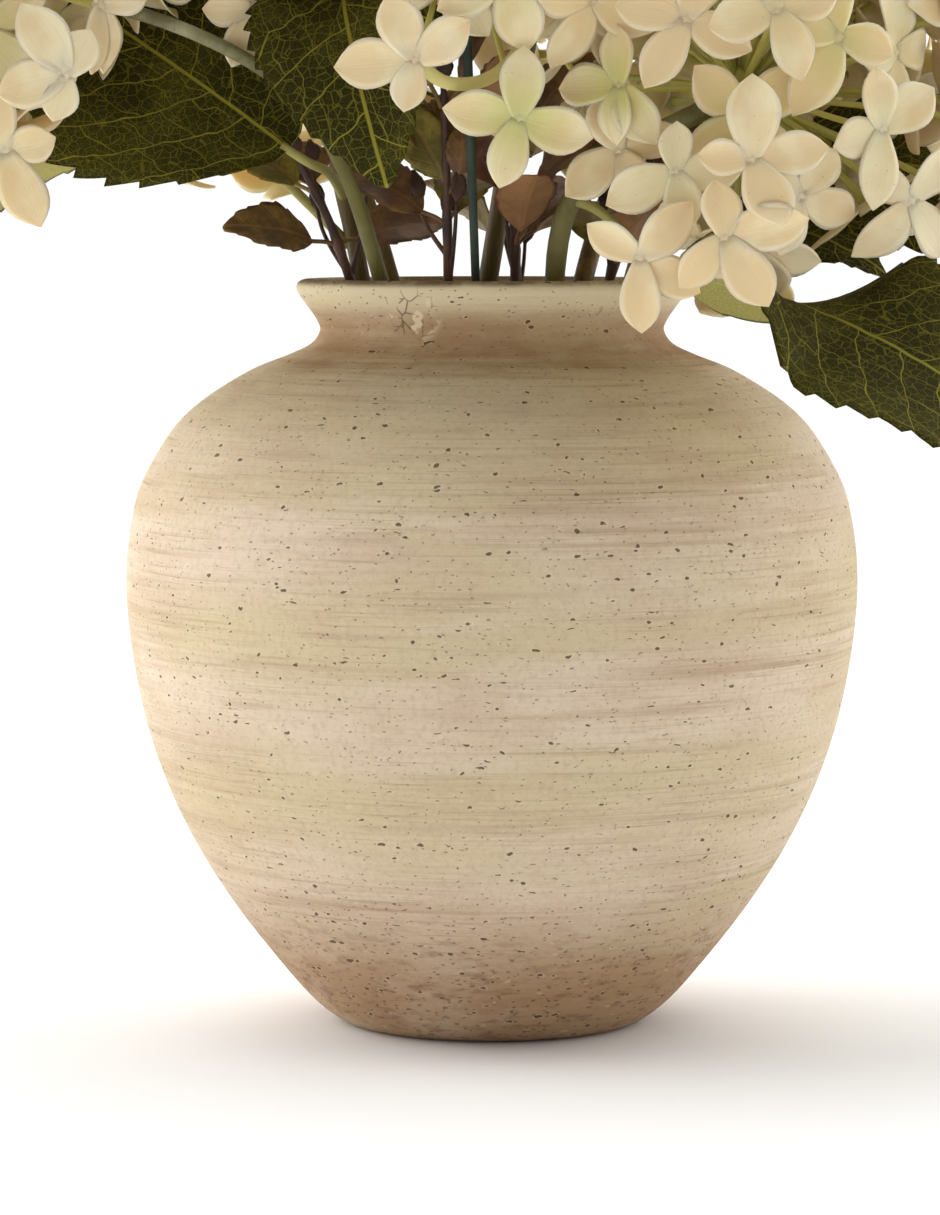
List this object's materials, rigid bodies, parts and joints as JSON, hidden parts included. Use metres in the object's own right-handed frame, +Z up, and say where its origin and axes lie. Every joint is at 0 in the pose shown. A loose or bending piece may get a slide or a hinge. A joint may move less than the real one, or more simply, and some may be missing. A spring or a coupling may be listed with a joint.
{
  "type": "hydrangeas in a vase",
  "caption": "Round shouldered stoneware vase holding cream mophead hydrangea stems with broad serrated leaves and brown leafy sprigs.",
  "frame": {"origin": "centre of the vase's flat foot, on the surface it stands on", "axes": "+Z up along the vase's axis, -Y towards the arrangement's front"},
  "size_m": [0.4096, 0.2809, 0.4496],
  "materials": {
    "ceramic": "matte",
    "sepal": "matte",
    "leaf": "matte",
    "stem": "satin",
    "brown_leaf": "matte",
    "brown_stem": "satin"
  },
  "bodies": {
    "root": {"vase": "ceramic", "stem_front": "stem", "stem_right_front": "stem", "stem_left": "stem", "stem_left_rear": "stem", "stem_top": "stem", "stem_right": "stem", "stem_rear_right": "stem", "stem_rear_left": "stem", "head_front": "sepal", "head_right_front": "sepal", "head_left": "sepal", "head_left_rear": "sepal", "head_top": "sepal", "head_right": "sepal", "head_rear_right": "sepal", "head_rear_left": "sepal", "leaf_left_front": "leaf", "leaf_centre_drooping": "leaf", "leaf_right_low": "leaf", "leaf_right_mid": "leaf", "leaf_left_low": "leaf", "leaf_left_side": "leaf", "leaf_right_side": "leaf", "leaf_rear_centre": "leaf", "leaf_rear_right_low": "leaf", "leaf_rear_left_low": "leaf", "leaf_rim_right": "leaf", "sprig_centre_stem": "brown_stem", "sprig_centre_leaf_1": "brown_leaf", "sprig_centre_leaf_2": "brown_leaf", "sprig_centre_leaf_3": "brown_leaf", "sprig_centre_leaf_4": "brown_leaf", "sprig_centre_leaf_5": "brown_leaf", "sprig_centre_leaf_6": "brown_leaf", "sprig_left_stem": "brown_stem", "sprig_left_leaf_1": "brown_leaf", "sprig_left_leaf_2": "brown_leaf", "sprig_left_leaf_3": "brown_leaf", "sprig_left_leaf_4": "brown_leaf", "sprig_centre_right_stem": "brown_stem", "sprig_centre_right_leaf_1": "brown_leaf", "sprig_centre_right_leaf_2": "brown_leaf", "sprig_centre_right_leaf_3": "brown_leaf", "sprig_centre_right_leaf_4": "brown_leaf", "sprig_centre_right_leaf_5": "brown_leaf", "sprig_centre_right_leaf_6": "brown_leaf", "sprig_right_stem": "brown_stem", "sprig_right_leaf_1": "brown_leaf", "sprig_right_leaf_2": "brown_leaf", "sprig_right_leaf_3": "brown_leaf", "sprig_right_leaf_4": "brown_leaf", "sprig_rear_stem": "brown_stem", "sprig_rear_leaf_1": "brown_leaf", "sprig_rear_leaf_2": "brown_leaf", "sprig_rear_leaf_3": "brown_leaf", "sprig_rear_leaf_4": "brown_leaf"}
  },
  "joints": []
}
